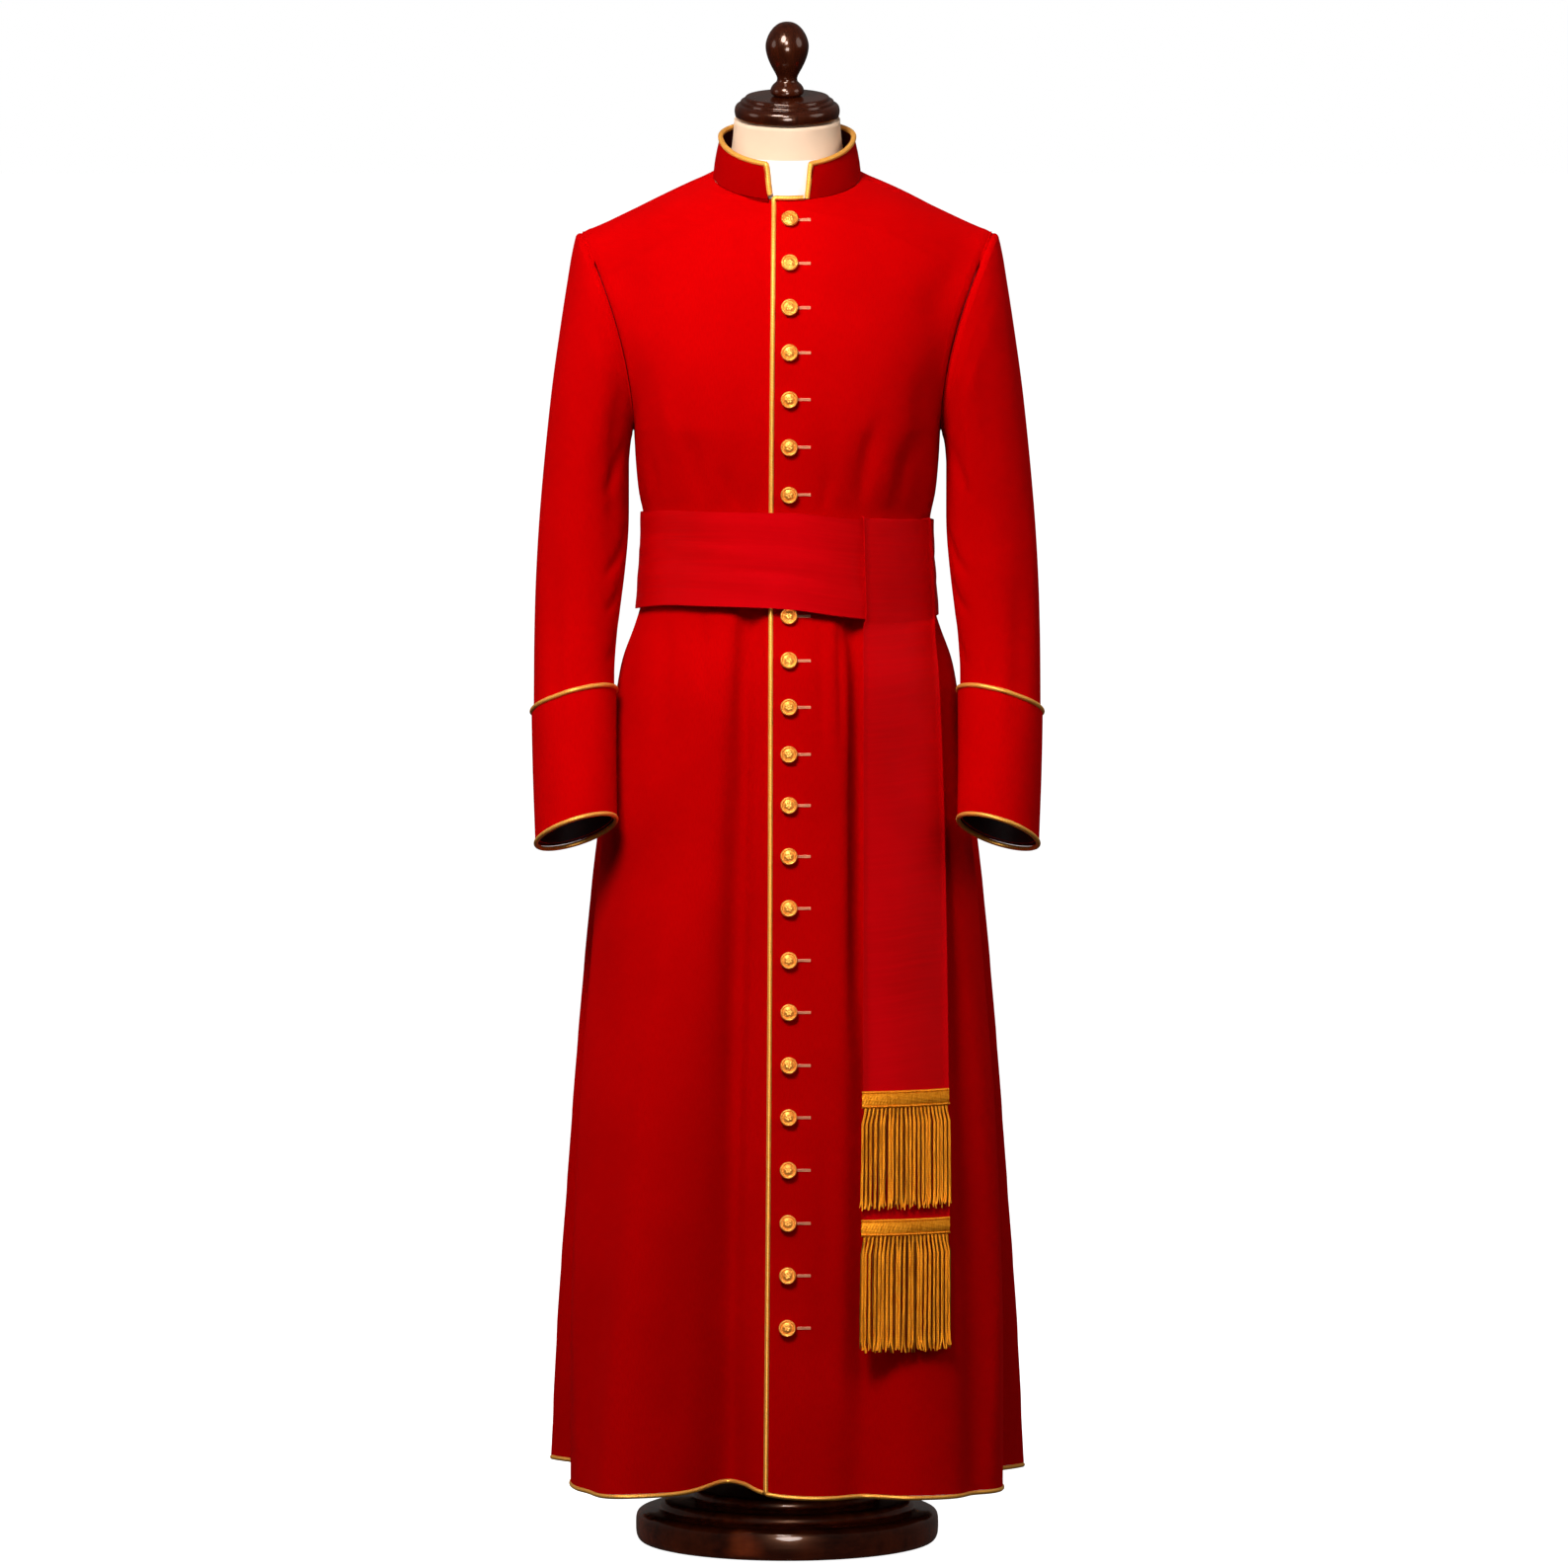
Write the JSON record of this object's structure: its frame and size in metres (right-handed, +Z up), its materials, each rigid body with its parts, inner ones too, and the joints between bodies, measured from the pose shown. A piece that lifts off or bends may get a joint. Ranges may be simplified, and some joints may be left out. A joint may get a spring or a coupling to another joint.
{
  "type": "cassock on a limbless dress form",
  "caption": "Full-length red cassock with gold piping, a stand collar, turned-back cuffs and a fringed sash, worn by a limbless dress form on a round stand.",
  "frame": {"origin": "centre of the stand's underside, on the floor", "axes": "+Z up; the garment faces -Y, and +X is the wearer's left"},
  "size_m": [0.5746, 0.4915, 1.6979],
  "materials": {
    "wool": "matt scarlet wool",
    "silk": "softly lustrous red silk",
    "gold_piping": "satin gold cord",
    "gold_thread": "twisted gold thread",
    "gilt_brass": "stamped and gilt",
    "white_insert": "starched white linen",
    "form_linen": "cream linen",
    "dark_wood": "polished mahogany"
  },
  "bodies": {
    "root": {"back_left": "wool", "back_right": "wool", "button_01": "gilt_brass", "button_02": "gilt_brass", "button_03": "gilt_brass", "button_04": "gilt_brass", "button_05": "gilt_brass", "button_06": "gilt_brass", "button_07": "gilt_brass", "button_08": "gilt_brass", "button_09": "gilt_brass", "button_10": "gilt_brass", "button_11": "gilt_brass", "button_12": "gilt_brass", "button_13": "gilt_brass", "button_14": "gilt_brass", "button_15": "gilt_brass", "button_16": "gilt_brass", "button_17": "gilt_brass", "button_18": "gilt_brass", "button_19": "gilt_brass", "button_20": "gilt_brass", "button_21": "gilt_brass", "button_22": "gilt_brass", "button_23": "gilt_brass", "button_24": "gilt_brass", "collar": "wool", "collar_insert": "white_insert", "cuff_left": "wool", "cuff_right": "wool", "form_base": "dark_wood", "form_cap": "dark_wood", "form_finial": "dark_wood", "form_pole": "dark_wood", "form_torso": "form_linen", "fringe_lower": "gold_thread", "fringe_upper": "gold_thread", "front_left": "wool", "front_right": "wool", "header_lower": "gold_thread", "header_upper": "gold_thread", "piping_collar": "gold_piping", "piping_cuff_end_left": "gold_piping", "piping_cuff_end_right": "gold_piping", "piping_cuff_top_left": "gold_piping", "piping_cuff_top_right": "gold_piping", "piping_front_edge": "gold_piping", "piping_hem_back_left": "gold_piping", "piping_hem_back_right": "gold_piping", "piping_hem_front_left": "gold_piping", "piping_hem_front_right": "gold_piping", "piping_neck": "gold_piping", "sash_band": "silk", "sash_tail_lower": "silk", "sash_tail_upper": "silk", "sleeve_left": "wool", "sleeve_right": "wool"}
  },
  "joints": []
}
